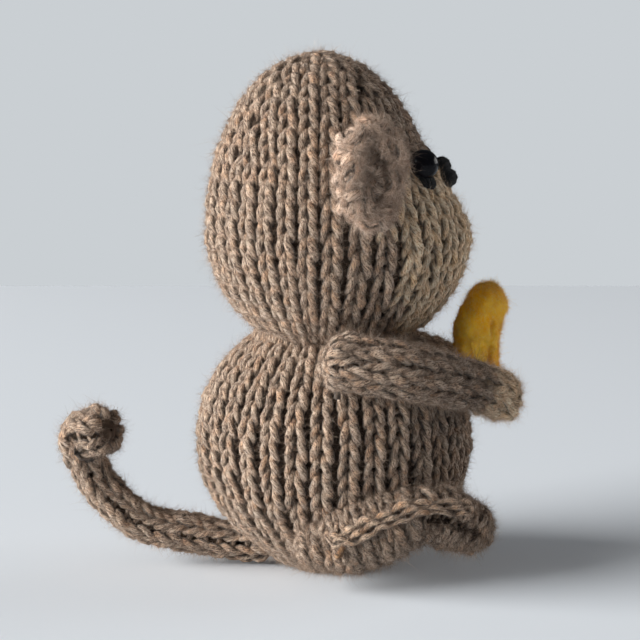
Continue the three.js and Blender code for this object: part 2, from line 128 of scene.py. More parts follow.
def latitude_at(z):
    """The latitude of a height on the upper part of the head."""
    return np.arcsin((z - HEAD_MIDDLE) / HEAD_RISE)


HEAD_LATITUDES = np.linspace(math.pi / 2, -math.pi / 2, 400)
HEAD_SIDE = head_point(HEAD_LATITUDES, np.full(400, math.pi / 2))
HEAD_LENGTHS = lengths_along(HEAD_SIDE)
NECK_LENGTH = float(np.interp(-NECK_HEIGHT, -HEAD_SIDE[:, 2], HEAD_LENGTHS))
NOSE_PLACE = np.array([0, -21.5, 76.5])
EYE_PLACES = {"left": np.array([12.3, -16.6, 78.7]), "right": np.array([-12.3, -16.6, 78.7])}


def head_surface(u, v):
    """u goes once round from the face, v is how far down from the crown in millimetres."""
    latitude = np.interp(v, HEAD_LENGTHS, HEAD_LATITUDES)
    return head_point(latitude, TAU * u)


BODY_TOP, BODY_MIDDLE = 46, 24.5
BODY_RADIUS, NECK_RADIUS, SEAT_RADIUS = 26.9, 15.5, 9.5
BODY_HEIGHTS = np.linspace(BODY_TOP, 0, 200)


def body_radius(z):
    down, up = np.clip(BODY_MIDDLE - z, 0, None), np.clip(z - BODY_MIDDLE, 0, None)
    low = BODY_RADIUS - (BODY_RADIUS - SEAT_RADIUS) * (down / BODY_MIDDLE) ** 2.2
    high = BODY_RADIUS - (BODY_RADIUS - NECK_RADIUS) * (up / (BODY_TOP - BODY_MIDDLE)) ** 2.5
    return np.where(z < BODY_MIDDLE, low, high)


def body_profile():
    """Radius and height from inside the neck down to the middle of the seat."""
    dome = math.hypot(NECK_RADIUS, BODY_TOP - HEAD_PIVOT)
    start = math.atan2(BODY_TOP - HEAD_PIVOT, NECK_RADIUS)
    angles = np.linspace(start + 0.35, start, 20, endpoint=False)
    neck = np.stack([dome * np.cos(angles), HEAD_PIVOT + dome * np.sin(angles)], -1)
    side = np.stack([body_radius(BODY_HEIGHTS), BODY_HEIGHTS], -1)
    seat = np.stack([np.linspace(SEAT_RADIUS, 0.4, 20)[1:], np.zeros(19)], -1)
    return np.concatenate([neck, side, seat])


BODY_PROFILE = body_profile()
BODY_LENGTHS = lengths_along(BODY_PROFILE)


def body_surface(u, v):
    radius = np.interp(v, BODY_LENGTHS, BODY_PROFILE[:, 0])
    z = np.interp(v, BODY_LENGTHS, BODY_PROFILE[:, 1])
    return np.stack([radius * np.cos(TAU * u), radius * np.sin(TAU * u), z], -1)


def spline(points, count=240):
    """A smooth path through points, resampled evenly along its length."""
    points = np.asarray(points, float)
    ends = np.concatenate([[2 * points[0] - points[1]], points, [2 * points[-1] - points[-2]]])
    t = np.linspace(0, 1, 24, endpoint=False)[:, None]
    out = []
    for a, b, c, d in zip(ends, ends[1:], ends[2:], ends[3:]):
        first, step, last = (np.linalg.norm((q - p)[:3]) ** 0.5 for p, q in ((a, b), (b, c), (c, d)))
        leave = ((b - a) / first - (c - a) / (first + step) + (c - b) / step) * step
        arrive = ((c - b) / step - (d - b) / (step + last) + (d - c) / last) * step
        out.append(b + leave * t + (3 * c - 3 * b - 2 * leave - arrive) * t ** 2
                   + (2 * b - 2 * c + leave + arrive) * t ** 3)
    out = np.concatenate(out + [points[-1:]])
    lengths = lengths_along(out[:, :3])
    even = np.linspace(0, lengths[-1], count)
    return np.stack([np.interp(even, lengths, column) for column in out.T], -1), lengths[-1]


class Limb:
    """A round form along a path of x, y, z, half height and half width.

    up is the direction of its height, or gives it for each point. The ends are closed, apart from a
    last end with a rim, which curls in by that much.
    """

    def __init__(self, stations, up=UP, rim=0.0):
        self.path, self.length = spline(stations)
        self.at = np.linspace(0, self.length, len(self.path))
        along = unit(np.gradient(self.path[:, :3], axis=0))
        across = unit(np.cross(up(self.path[:, :3]) if callable(up) else up, along))
        self.axes = np.concatenate([along, across, np.cross(along, across)], -1)
        self.caps = (self.path[0, 3:5].min(), self.path[-1, 3:5].min())
        self.rim = rim
        self.before = 1.5 * self.caps[0]
        self.total = self.before + self.length + (2.5 * rim if rim else 1.5 * self.caps[1])

    def surface(self, u, v):
        """u goes once round, v runs over the limb from one tip to the other in millimetres."""
        s = v - self.before
        inside = np.clip(s, 0, self.length)
        past = s - inside
        turned = np.where(past < 0, past / self.caps[0], past / (self.rim or self.caps[1]))
        shift = np.where(past < 0, self.caps[0], self.rim or self.caps[1]) * np.sin(turned)
        open_part = np.where(past < 0, 0, 1 - self.rim / self.caps[1] if self.rim else 0)
        scale = open_part + (1 - open_part) * np.cos(turned)
        path = np.stack([np.interp(inside, self.at, column) for column in self.path.T], -1)
        axes = np.stack([np.interp(inside, self.at, column) for column in self.axes.T], -1)
        along, across, over = unit(axes[:, :3]), unit(axes[:, 3:6]), unit(axes[:, 6:])
        turn = TAU * u
        wide = (scale * path[:, 4] * np.cos(turn))[:, None]
        high = (scale * path[:, 3] * np.sin(turn))[:, None]
        return path[:, :3] + along * shift[:, None] + across * wide + over * high


# ---- knitting

def lifted(surface, u, v, lift, sign):
    """Points of a surface raised along its outward normal by lift, one or many, with the normals."""
    step_u, step_v = 2e-3, 0.05
    point = surface(u, v)
    along_u = surface(u + step_u, v) - surface(u - step_u, v)
    along_v = surface(u, v + step_v) - surface(u, v - step_v)
    normal = sign * unit(np.cross(along_u, along_v))
    return point + normal * np.reshape(lift, (-1, 1)), normal


def strand(point, normal, radius, closed=False):
    """A centre line of yarn. The normal and the radius may be one for all its points."""
    return {"point": point, "normal": np.zeros_like(point) + normal,
            "radius": np.zeros(len(point)) + radius, "closed": closed}


def row_of_loops(surface, v, pitch, count, following, sign, rng, yarn=YARN_RADIUS, depth=LOOP_DEPTH,
                 lean=LOOP_LEAN, reach=LOOP_REACH, sink=SINK, tuck=0.0, wild=1.0, limits=None, closed=True):
    """One ring of stitches. Each loop starts narrow, widens, and hangs its head on the next row."""
    t = np.arange(count * STEPS_PER_STITCH) / STEPS_PER_STITCH
    stitch = np.floor(t).astype(int)
    phase = TAU * (t - stitch) - math.pi
    centre = (stitch + 0.5) / count
    target = (np.floor(centre * following) + 0.5) / following
    target = np.where(np.abs(target - centre) > 0.6 / count, centre, target)
    pull = (1 + np.cos(phase)) / 2
    legs = rng.normal(size=(4, 2 * count))
    wobble = [wild * np.interp(2 * t - 0.5, np.arange(2 * count), row, period=2 * count) for row in legs]
    across = phase / (TAU) + lean * np.sin(2 * phase) - LOOP_NARROW * np.sin(phase)
    u = centre + (target - centre) * pull + (across + 0.045 * wobble[0]) / count
    along = v + pitch * (reach * np.cos(phase) + 0.05 * wobble[1])
    if limits:
        along = np.clip(along, *limits)
    fat = np.sin(phase)
    lift = -depth * np.cos(2 * phase) + 0.14 * wobble[2] + LOOP_BIAS * fat - sink - tuck * (1 - pull) ** 4
    point, normal = lifted(surface, u, along, lift, sign)
    radius = yarn * (0.83 - 0.17 * np.cos(2 * phase)) * (1 + 0.09 * wobble[3] + LOOP_BIAS * 0.6 * fat)
    return {**strand(point, normal, radius, closed), "stitch": stitch}


def knit(surface, rows, sign, rng, **shape):
    """Rows of stitches over a surface. rows holds (v, pitch, count) from the first row to the last.

    shape may change the yarn's radius and each loop's depth, lean, reach and sink. tuck draws the
    open ends of the loops in, wild makes them uneven, limits keeps them between two places along v,
    and closed=False leaves the ends of a row apart.
    """
    counts = [row[2] for row in rows]
    return [row_of_loops(surface, *row, following, sign, rng, **shape)
            for row, following in zip(rows, counts[1:] + counts[-1:])]


def frames(line):
    """Tangent, side and outward directions along a centre line."""
    point = line["point"]
    if line["closed"]:
        tangent = np.roll(point, -1, axis=0) - np.roll(point, 1, axis=0)
    else:
        tangent = np.gradient(point, axis=0)
    tangent = unit(tangent)
    side = unit(np.cross(tangent, line["normal"]))
    return tangent, side, np.cross(side, tangent)


def tube_parts(line):
    """Vertices, faces and yarn coordinates of a round strand along a centre line."""
    point, radius, sides = line["point"], line["radius"], YARN_SIDES
    _, side, out = frames(line)
    turns = (TAU * np.arange(sides) / sides)[None, :, None]
    ring = np.cos(turns) * side[:, None, :] + YARN_FLATNESS * np.sin(turns) * out[:, None, :]
    count = len(point)
    uneven = np.random.RandomState(count).normal(size=(count, sides))
    uneven = 1 + 0.05 * (uneven + np.roll(uneven, (1, 1), axis=(0, 1)))
    verts = point[:, None, :] + (radius[:, None] * uneven)[:, :, None] * ring
    steps = np.linalg.norm(np.diff(point, axis=0, append=point[:1]), axis=1)
    lengths = np.concatenate([[0], np.cumsum(steps)]) + line["start"]
    rows = np.arange(count if line["closed"] else count - 1)
    if "keep" in line:
        rows = rows[line["keep"][rows]]
    i, k = (index.ravel() for index in np.meshgrid(rows, np.arange(sides), indexing="ij"))
    nexti, nextk = (i + 1) % count, (k + 1) % sides
    faces = np.stack([i * sides + k, i * sides + nextk, nexti * sides + nextk, nexti * sides + k], -1)
    across = np.stack([k, k + 1, k + 1, k], -1) / sides
    down = np.stack([lengths[i], lengths[i], lengths[i + 1], lengths[i + 1]], -1)
    coordinates = np.stack([down, across], -1)
    if not line["closed"]:
        half = np.arange(sides // 2 - 1)
        start = np.stack([half, half + 1, sides - 2 - half, sides - 1 - half], -1)
        caps = np.concatenate([start[:, ::-1], start + (count - 1) * sides])
        faces = np.concatenate([faces, caps])
        flat = np.stack([lengths[caps // sides], caps % sides / sides], -1)
        coordinates = np.concatenate([coordinates, flat])
    return verts.reshape(-1, 3), faces, coordinates


SLOT_STARTS = {"pale": "pale_yarn", "black_bead": "black_bead", "black": "black_yarn",
               "yellow": "yellow_felt", "fibre_fill": "fibre_fill"}


def slot_for(material):
    """The record's slot for a material, by the start of its name. The rest is brown yarn."""
    fitting = (slot for start, slot in SLOT_STARTS.items() if material.name.startswith(start))
    return next(fitting, "brown_yarn")


def add_object(name, data):
    obj = bpy.data.objects.new(name, data)
    bpy.context.scene.collection.objects.link(obj)
    return obj


def mesh_object(name, verts, faces, material, uvs=None, smooth_faces=True):
    """A mesh object in metres from arrays of points in millimetres and faces of equal size."""
    size = faces.shape[1]
    used, faces = np.unique(faces, return_inverse=True)
    faces = faces.reshape(-1, size)
    verts = verts[used]
    verts[:, 2] = np.maximum(verts[:, 2], 0.02)
    mesh = bpy.data.meshes.new(name)
    mesh.vertices.add(len(verts))
    mesh.vertices.foreach_set("co", (verts * MM).astype(np.float32).ravel())
    mesh.loops.add(faces.size)
    mesh.loops.foreach_set("vertex_index", faces.astype(np.int32).ravel())
    mesh.polygons.add(len(faces))
    mesh.polygons.foreach_set("loop_start", np.arange(0, faces.size, size, dtype=np.int32))
    mesh.polygons.foreach_set("use_smooth", np.full(len(faces), smooth_faces))
    if uvs is not None:
        layer = mesh.uv_layers.new(name="yarn")
        layer.data.foreach_set("uv", uvs.reshape(-1, 2).astype(np.float32).ravel())
    mesh.update(calc_edges=True)
    mesh.validate()
    obj = add_object(name, mesh)
    mesh.materials.append(material)
    slot_for(material)
    return obj


def strands(name, lines, material):
    """One piece of round yarn along many centre lines."""
    verts, faces, uvs, first = [], [], [], 0
    for number, line in enumerate(lines):
        line.setdefault("start", YARN_OFFSET * number)
        v, f, c = tube_parts(line)
        verts.append(v)
        faces.append(f + first)
        uvs.append(c)
        first += len(v)
    return mesh_object(name, np.concatenate(verts), np.concatenate(faces), material, np.concatenate(uvs))


def skin(name, surface, v_range, lift, sign, material, lumps=0.0, size=0.8, around=64, down=48):
    """A closed form just under a surface: a dark sheet of painted shade, matted wool or loose fill, lumpy
    if asked.
    """
    base, normal = lifted(surface, *grid(down, around, *v_range), lift, sign)
    verts = base + normal * (lumps * ripple(base, 21, size))[:, None]
    return mesh_object(name, verts, grid_faces(down, around), material)


def grid(down, around, start, end):
    """u and v for the points of a form, ring after ring from start to end."""
    u, v = np.meshgrid(np.linspace(0, 1, around, endpoint=False), np.linspace(start, end, down))
    return u.ravel(), v.ravel()


def grid_faces(down, around):
    """Quads between the rings of a form, in the order of grid's points."""
    j, i = (index.ravel() for index in np.meshgrid(np.arange(down - 1), np.arange(around), indexing="ij"))
    j, right = j * around, (i + 1) % around
    return np.stack([j + i, j + right, j + around + right, j + around + i], -1)


def ripple(points, seed, scale):
    """Soft, smooth unevenness between about -1 and 1, the same on every run."""
    rng = np.random.RandomState(seed)
    total = np.zeros(len(points))
    for _ in range(7):
        direction = unit(rng.normal(size=3)) * scale * rng.uniform(0.6, 1.7)
        total += np.sin(points @ direction + rng.uniform(0, 6.28))
    return total / 3.2


def fuzz(name, lines, lying, standing, materials, rng, length=1.0, clear=()):
    """Loose fibres on yarn: short ones that lie over it, and longer, curlier ones that stand off it.

    clear lists places, each with a distance, that the fibres keep away from.
    """
    places = []
    for line in lines:
        keep = line.get("keep", np.ones(len(line["point"]), bool))
        for centre, distance in clear:
            keep = keep & (np.linalg.norm(line["point"] - centre, axis=1) > distance)
        rows = [line["point"], *frames(line), line["radius"][:, None]]
        places.append(np.concatenate(rows, -1)[keep])
    places = np.concatenate(places)
    pieces = []
    for (kind, rise, reach, bends, curl, width), number, material in zip(
            (FUZZ, HALO), (lying, standing), materials):
        chosen = places[rng.randint(0, len(places), number)]
        point, tangent, side, out, radius = np.split(chosen, [3, 6, 9, 12], -1)
        turn = rng.uniform(0.18, 0.82, (number, 1)) * math.pi
        radial = np.cos(turn) * side + np.sin(turn) * out
        flow = unit(rng.normal(size=(number, 3)) + tangent * rng.choice([-0.8, 0.8], (number, 1)))
        start = flow - radial * (flow * radial).sum(-1, keepdims=True)
        start = unit(unit(start) + radial * rng.uniform(*rise, (number, 1)))
        root = point + radial * radius * 0.86
        parts = math.ceil(number * (2 * bends - 1) / FUZZ_LIMIT)
        for part in range(parts):
            own = slice(part, None, parts)
            label = f"{name}_{kind}" + (f"_{part + 1}" if parts > 1 else "")
            pieces.append(hairs(label, root[own], start[own], length * reach, bends, curl, width,
                                material, rng))
    return pieces


def hairs(name, root, start, length, bends, curl, width, material, rng):
    """Thin tapered ribbons that bend at random along their length."""
    number = len(root)
    step = length * (0.35 + rng.gamma(2.0, 0.30, (number, 1))) / bends
    half = unit(np.cross(start, unit(rng.normal(size=(number, 3))))) * width / 2
    verts, place, ahead = [root - half, root + half], root, start
    for k in range(1, bends):
        place = place + ahead * step
        ahead = unit(ahead + curl * unit(rng.normal(size=(number, 3))))
        thin = half * (1 - 0.5 * k / bends)
        verts += [place - thin, place + thin]
    verts = np.stack(verts + [place + ahead * step], 1)
    corners = [[2 * k, 2 * k + 1, 2 * k + 3] for k in range(bends - 1)]
    corners += [[2 * k, 2 * k + 3, 2 * k + 2] for k in range(bends - 1)]
    corners.append([2 * bends - 2, 2 * bends - 1, 2 * bends])
    base = (2 * bends + 1) * np.arange(number)[:, None]
    faces = np.concatenate([base + [corner] for corner in corners])
    return mesh_object(name, verts.reshape(-1, 3), faces, material, smooth_faces=False)


# ---- materials

class Nodes:
    """Short ways to build a material's nodes."""

    def __init__(self, name):
        self.material = bpy.data.materials.new(name)
        self.material.use_nodes = True
        self.tree = self.material.node_tree
        self.shader = self.tree.nodes["Principled BSDF"]

    def put(self, socket, value):
        """Gives a socket a plain value, or links another node's output to it."""
        if isinstance(value, bpy.types.NodeSocket):
            self.tree.links.new(value, socket)
        else:
            socket.default_value = value

    def add(self, kind, *inputs, settings=(), **named):
        """A node with its settings, its first inputs and, with _ for each space, its named inputs."""
        node = self.tree.nodes.new(kind)
        for key, value in dict(settings).items():
            setattr(node, key, value)
        for index, value in enumerate(inputs):
            self.put(node.inputs[index], value)
        for key, value in named.items():
            self.put(node.inputs[key.replace("_", " ")], value)
        return node

    def math(self, operation, *values):
        return self.add("ShaderNodeMath", *values, settings={"operation": operation}).outputs[0]

    def plus(self, a, b):
        return self.math("ADD", a, b)

    def times(self, a, b):
        return self.math("MULTIPLY", a, b)

    def noise(self, vector, scale, detail=2.0, roughness=0.5):
        return self.add("ShaderNodeTexNoise", Vector=vector, Scale=scale, Detail=detail,
                        Roughness=roughness).outputs["Fac"]

    def combine(self, x, y, z=0.0):
        return self.add("ShaderNodeCombineXYZ", x, y, z).outputs[0]

    def place(self):
        return self.add("ShaderNodeTexCoord").outputs["Object"]

    def ramp(self, factor, stops):
        node = self.add("ShaderNodeValToRGB", factor)
        elements = node.color_ramp.elements
        while len(elements) < len(stops):
            elements.new(0.5)
        for element, (place, color) in zip(elements, stops):
            element.position = place
            element.color = (*color, 1)
        return node.outputs["Color"]

    def multiply(self, a, b):
        node = self.add("ShaderNodeMix", 1.0, settings={"data_type": "RGBA", "blend_type": "MULTIPLY"})
        self.put(node.inputs[6], a)
        self.put(node.inputs[7], b)
        return node.outputs[2]

    def surface(self, color, height=None, bump=0.0, distance=0.0, **values):
        """Sets the shader's colour and plain values, and its bump where a height is given."""
        self.put(self.shader.inputs["Base Color"], color)
        for key, value in values.items():
            self.put(self.shader.inputs[key.replace("_", " ")], value)
        if height is not None:
            node = self.add("ShaderNodeBump", Strength=bump, Distance=distance, Height=height)
            self.put(self.shader.inputs["Normal"], node.outputs[0])
        return self.material


def linear(rgb):
    """A colour given as it looks on a screen, 0 to 255."""
    return tuple(((c / 255 + 0.055) / 1.055) ** 2.4 if c > 10 else c / 255 / 12.92 for c in rgb)


PLIES, PLY_PITCH = 7, -9.0


def yarn_material(name, dark, middle, light, flecks, sheen=0.2):
    """Twisted heathered wool: plies wind round the strand, and their fibres vary in colour. The grooves
    between plies and each strand's inner side are painted darker: painted shade.
    """
    n = Nodes(name)
    split = n.add("ShaderNodeSeparateXYZ", n.add("ShaderNodeUVMap", settings={"uv_map": "yarn"}).outputs[0])
    along, around = split.outputs[0], split.outputs[1]
    turn = n.times(n.plus(around, n.math("DIVIDE", along, PLY_PITCH)), TAU)
    cosine, sine = n.math("COSINE", turn), n.math("SINE", turn)
    circle = n.combine(cosine, sine, n.times(along, 0.42))
    fibres = n.noise(circle, 4.6, 5.0, 0.75)
    soft = n.noise(circle, 1.6, 3.0, 0.6)
    specks = n.noise(n.combine(n.times(along, 1.3), cosine, sine), 3.4, 3.0, 0.75)
    wave = n.math("SINE", n.math("MULTIPLY_ADD", turn, PLIES / 2, n.times(soft, 11.0)))
    ply = n.math("POWER", n.math("ABSOLUTE", wave), 0.55)
    # Painted shade: the grooves between plies are darker in the colour and their crowns lighter, as the
    # round plies would be shaded. The same plies also drive the bump.
    tone = n.plus(n.times(fibres, 0.56), n.times(ply, 0.20))
    tone = n.plus(tone, n.times(specks, 0.46))
    color = n.ramp(tone, [(0.53, linear(dark)), (0.625, linear(middle)), (0.72, linear(light))])
    patch = n.noise(n.combine(n.times(along, 0.35), n.times(around, 0.8)), 1.2, 3.0)
    tint = n.ramp(patch, [(0.34, (0.80, 0.80, 0.80)), (0.46, (1.0, 1.0, 1.0)), (0.54, (1.04, 0.98, 0.93)),
                          (0.68, flecks)])
    # Painted shade: the side of each strand that faces in, towards the gaps and the dark sheet under them,
    # is darkened in the colour, down to 0.18 of it.
    facing = n.math("SINE", n.times(around, TAU))
    inner = n.add("ShaderNodeMapRange", settings={"interpolation_type": "SMOOTHSTEP"}, Value=facing,
                  From_Min=-0.10, From_Max=0.85, To_Min=0.18, To_Max=1.0).outputs[0]
    color = n.multiply(n.multiply(color, tint), n.combine(inner, inner, inner))
    height = n.plus(n.times(ply, 0.7), n.times(fibres, 1.7))
    return n.surface(color, height, 0.8, 0.0004, Roughness=0.92, Specular_IOR_Level=0.25,
                     Sheen_Weight=sheen, Sheen_Roughness=0.5)


def fibre_materials(name, near, far):
    """Hairs that lie on the yarn and hairs that stand off it, each lighter or darker than the next."""
    pair = []
    for kind, (dark, middle, light) in (("fuzz", near), ("halo", far)):
        n = Nodes(f"{name}_{kind}")
        island = n.add("ShaderNodeNewGeometry").outputs["Random Per Island"]
        shade = n.ramp(island, [(0.0, linear(dark)), (0.45, linear(middle)), (1.0, linear(light))])
        pair.append(n.surface(shade, Roughness=0.9, Sheen_Weight=0.2))
    return pair


def plain_material(name, dark, light, scale):
    """Stuffing and the dark sheets of painted shade under the stitches: one colour broken up by soft noise.
    """
    n = Nodes(name)
    shade = n.ramp(n.noise(n.place(), scale, 4.0), [(0.35, linear(dark)), (0.65, linear(light))])
    return n.surface(shade, Roughness=0.95)


def felt_material(name, dark, middle, light, scale, spread):
    """Matted wool: short fibres in every direction, in patches of lighter and darker colour."""
    n = Nodes(name)
    place = n.place()
    broad = n.noise(place, scale * 0.22, 3.0, 0.6)
    stretch = n.add("ShaderNodeMapping", Vector=place, Scale=(1.0, 1.0, 0.35))
    fibres = n.noise(stretch.outputs[0], scale * 2.5, 5.0, 0.7)
    tone = n.plus(n.times(broad, 0.6), n.times(fibres, 0.4))
    stops = zip((0.5 - spread, 0.5, 0.5 + spread), (linear(dark), linear(middle), linear(light)))
    color = n.ramp(tone, list(stops))
    return n.surface(color, fibres, 0.4, 0.0005, Roughness=0.95, Specular_IOR_Level=0.2,
                     Sheen_Weight=0.1, Sheen_Roughness=0.5)


def bead_material():
    n = Nodes("black_bead")
    marks = n.noise(n.place(), 2600.0, 3.0, 0.6)
    color = n.ramp(marks, [(0.3, (0.004, 0.004, 0.006)), (0.7, (0.010, 0.010, 0.013))])
    rough = n.math("MULTIPLY_ADD", marks, 0.10, 0.10)
    return n.surface(color, Roughness=rough, Specular_IOR_Level=0.10)


def steel_material():
    n = Nodes("wire_steel")
    color = n.ramp(n.noise(n.place(), 1500.0, 3.0), [(0.3, (0.42, 0.43, 0.44)), (0.7, (0.60, 0.61, 0.62))])
    return n.surface(color, Metallic=1.0, Roughness=0.35)


BROWN = yarn_material("brown_yarn", (52, 35, 25), (146, 118, 97), (206, 184, 162), (1.0, 0.82, 0.67))
# Painted light: the ear's yarn is the brown yarn made lighter, standing in for the light the ear catches.
EAR_YARN_PAINTED_LIGHT = yarn_material("ear_yarn", (84, 61, 47), (190, 158, 135), (222, 199, 178), (1.0, 0.84, 0.72))
SEAM = yarn_material("seam_yarn", (56, 38, 27), (156, 126, 101), (220, 194, 168), (1.0, 0.76, 0.54))
KNOT = yarn_material("knot_yarn", (74, 46, 28), (134, 92, 58), (178, 138, 98), (1.0, 0.76, 0.54))
PALE = yarn_material("pale_yarn", (136, 100, 68), (240, 204, 162), (255, 240, 214), (1.0, 0.88, 0.72))
BLACK = yarn_material("black_yarn", (4, 4, 6), (9, 9, 12), (20, 20, 25), (0.8, 0.9, 1.0), sheen=0.08)
# Painted light: the ear's fibres are lighter than the brown fibres, standing in for the light on the ear.
EAR_FUZZ_PAINTED_LIGHT = fibre_materials("ear", ((96, 72, 57), (188, 158, 135), (224, 202, 182)),
                           ((106, 84, 69), (178, 152, 132), (218, 198, 181)))
BROWN_FUZZ = fibre_materials("brown", ((58, 39, 28), (134, 107, 87), (198, 176, 156)),
                             ((74, 55, 42), (142, 118, 98), (206, 186, 168)))
PALE_FUZZ = fibre_materials("pale", ((154, 120, 87), (230, 196, 156), (252, 234, 208)),
                            ((154, 124, 95), (220, 190, 157), (248, 230, 208)))
BLACK_FUZZ = fibre_materials("black", *[((5, 5, 8), (11, 11, 15), (30, 30, 36))] * 2)[:1] * 2
YELLOW_FUZZ = fibre_materials("yellow", ((234, 160, 4), (250, 198, 24), (255, 230, 116)),
                              ((230, 178, 50), (242, 206, 100), (250, 226, 156)))
YELLOW = felt_material("yellow_felt", (220, 134, 0), (252, 188, 0), (255, 220, 84), 420.0, 0.14)
PALE_FELT = felt_material("pale_felt", (132, 104, 76), (196, 168, 134), (228, 206, 176), 900.0, 0.12)
# Painted light: the felt under the ear's stitches is lighter than the brown yarn, standing in for the light
# on the ear.
EAR_FELT_PAINTED_LIGHT = felt_material("brown_felt", (118, 92, 75), (168, 141, 120), (202, 178, 157), 900.0, 0.12)
# Painted shade: a dark sheet under the stitches that stands in for the shade in the gaps.
SHADE_SHEET = plain_material("inner_shade", (56, 42, 32), (84, 66, 52), 900.0)
FILL = plain_material("fibre_fill", (214, 210, 202), (238, 236, 230), 1200.0)
BEAD = bead_material()
STEEL = steel_material()


# ---- camera, light and floor

# In metres
CAMERA_PLACE, CAMERA_AIM, CAMERA_LENS = (-0.4577, 0.0027, 0.1040), (0, 0.0027, 0.048), 134.2
LIGHT_AIM = (0, 0, 0.05)
TABLE_NEAR, TABLE_FAR, TABLE_SIDE = -3, 0.506, 4


def point_at(obj, place, target):
    """Puts a camera or a lamp at a place and turns it to a target."""
    obj.location = place
    obj.rotation_mode = "QUATERNION"
    obj.rotation_quaternion = (Vector(target) - Vector(place)).to_track_quat("-Z", "Y")


def make_camera():
    camera = add_object("camera", bpy.data.cameras.new("camera"))
    camera.data.lens = CAMERA_LENS
    camera.data.sensor_width = 36
    camera.data.clip_start = 0.01
    point_at(camera, CAMERA_PLACE, CAMERA_AIM)
    bpy.context.scene.camera = camera


def area_light(name, place, size, power, color):
    lamp = add_object(name, bpy.data.lights.new(name, "AREA"))
    lamp.data.shape = "RECTANGLE"
    lamp.data.size, lamp.data.size_y = size
    lamp.data.energy = power
    lamp.data.color = color
    point_at(lamp, place, LIGHT_AIM)


def make_stage():
    """A pale table that ends some way behind the toy, and pale air beyond it."""
    floor = add_object("floor", bpy.data.meshes.new("floor"))
    corners = [(TABLE_NEAR, -TABLE_SIDE, 0), (TABLE_FAR, -TABLE_SIDE, 0),
               (TABLE_FAR, TABLE_SIDE, 0), (TABLE_NEAR, TABLE_SIDE, 0)]
    floor.data.from_pydata(corners, [], [(0, 1, 2, 3)])
    color = (*linear((222, 228, 235)), 1)
    floor.data.materials.append(Nodes("table_paint").surface(color, Roughness=0.7, Specular_IOR_Level=0.2))
    world = bpy.data.worlds.new("room")
    bpy.context.scene.world = world
    world.use_nodes = True
    tree = world.node_tree
    back = tree.nodes["Background"]
    back.inputs["Color"].default_value = (*linear((208, 213, 219)), 1)
    back.inputs["Strength"].default_value = 0.11
    seen = tree.nodes.new("ShaderNodeBackground")
    seen.inputs["Color"].default_value = (*linear((202, 207, 211)), 1)
    seen.inputs["Strength"].default_value = 1.0
    rays = tree.nodes.new("ShaderNodeLightPath")
    blend = tree.nodes.new("ShaderNodeMixShader")
    tree.links.new(rays.outputs["Is Camera Ray"], blend.inputs[0])
    tree.links.new(back.outputs[0], blend.inputs[1])
    tree.links.new(seen.outputs[0], blend.inputs[2])
    tree.links.new(blend.outputs[0], tree.nodes["World Output"].inputs["Surface"])


make_camera()
make_stage()
area_light("window", (-0.65, 2.5, 0.78), (3.0, 1.5), 225.0, (1.0, 0.985, 0.96))
area_light("ceiling", (-0.7, -0.1, 2.0), (2.0, 2.0), 1.2, (1.0, 1.0, 1.0))
area_light("far_wall", (1.0, -2.2, 0.7), (1.8, 1.0), 26.0, (1.0, 0.99, 0.97))
bpy.context.scene.view_settings.view_transform = "Standard"


# ---- body and head

def even_rows(surface, start, end, most, least_pitch, step=4, pitch=STITCH_ROW):
    """Rows a stitch apart from start to end, with as many stitches as their length holds."""
    number = int(round((end - start) / pitch))
    pitch = (end - start) / number
    rows = []
    for i in range(number + 1):
        v = start + i * pitch
        ring = surface(np.linspace(0, 1, 65), np.full(65, v))
        around = np.linalg.norm(np.diff(ring, axis=0), axis=1).sum()
        count = int(np.clip(step * math.floor(around / least_pitch / step), step, most))
        rows.append((v, pitch, count))
    return rows


def make_body():
    rows = even_rows(body_surface, 1.5, BODY_LENGTHS[-1] - 2.0, 32, 2.5)
    lines = knit(body_surface, rows, -1, random, limits=(0.2, BODY_LENGTHS[-1] - 0.1), tuck=0.8)
    cover = strands("body_knit", lines, BROWN)
    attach(cover, "torso")
    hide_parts("body_cover")
    # Painted shade: a dark sheet under the stitches.
    core = skin("body_lining", body_surface, (0.5, BODY_LENGTHS[-1]), -SHADE_SHEET_DEPTH, -1, SHADE_SHEET)
    loose = fuzz("body", lines, 160000, 96000, BROWN_FUZZ, random)
    fill = skin("body_fill", body_surface, (9.5, BODY_LENGTHS[-1] - 1), -FILL_DEPTH, -1, FILL, 0.35)
    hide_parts("body_stuffing")
    for piece in (core, fill, *loose):
        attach(piece, "torso")


MUZZLE_BACK, MUZZLE_TOP = -9.0, 76.0
FACE_CLEARANCE = 4.4


def in_muzzle(point):
    return (point[:, 1] < MUZZLE_BACK) & (point[:, 2] < MUZZLE_TOP)


